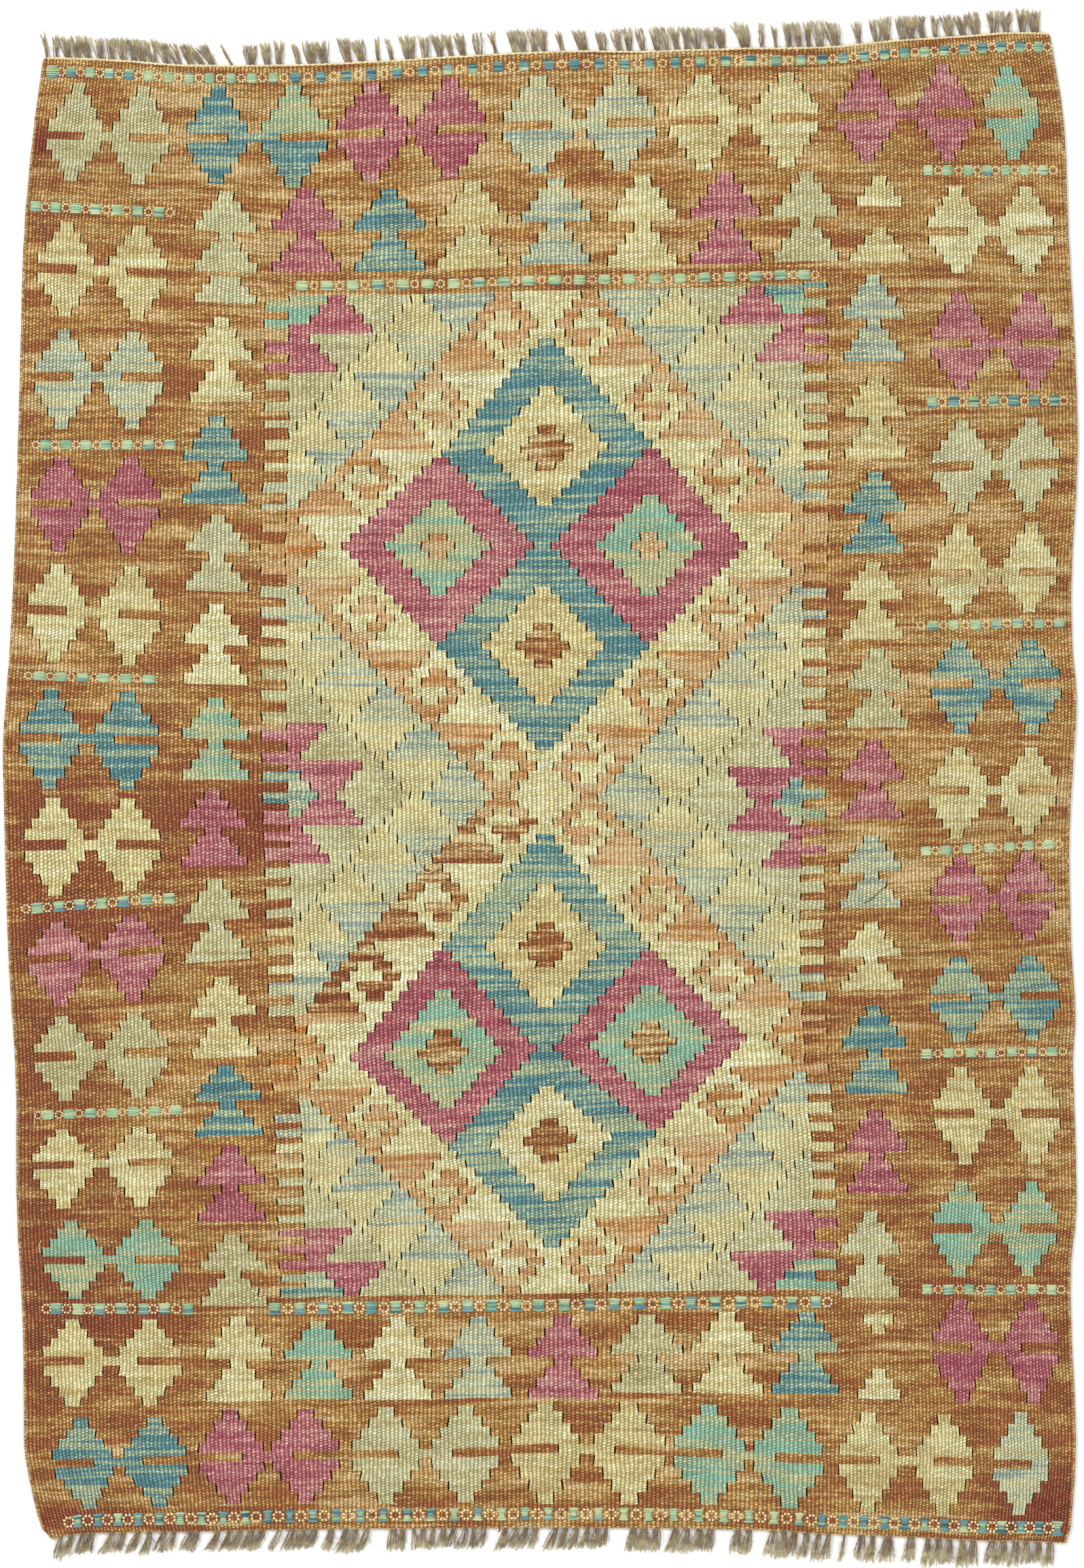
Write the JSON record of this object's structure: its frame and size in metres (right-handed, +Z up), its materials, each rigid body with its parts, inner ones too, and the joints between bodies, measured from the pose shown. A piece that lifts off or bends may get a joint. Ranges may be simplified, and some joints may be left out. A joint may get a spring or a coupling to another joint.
{
  "type": "kilim rug",
  "caption": "Flat-woven wool kilim rug with stepped diamond medallions, a border of paired diamonds and small trees, and a short fringe at each end.",
  "frame": {"origin": "middle of the rug's footprint, on the surface it lies on", "axes": "+Y along the rug's length, towards the end that is uppermost in the picture; +X across it, to the right in the picture; +Z up"},
  "size_m": [0.877, 1.274, 0.003],
  "materials": {
    "kilim_wool": "weft-faced dyed wool",
    "warp_wool": "undyed grey-brown wool yarn"
  },
  "bodies": {
    "root": {"rug_cloth": "kilim_wool", "fringe_top": "warp_wool", "fringe_bottom": "warp_wool"}
  },
  "joints": []
}
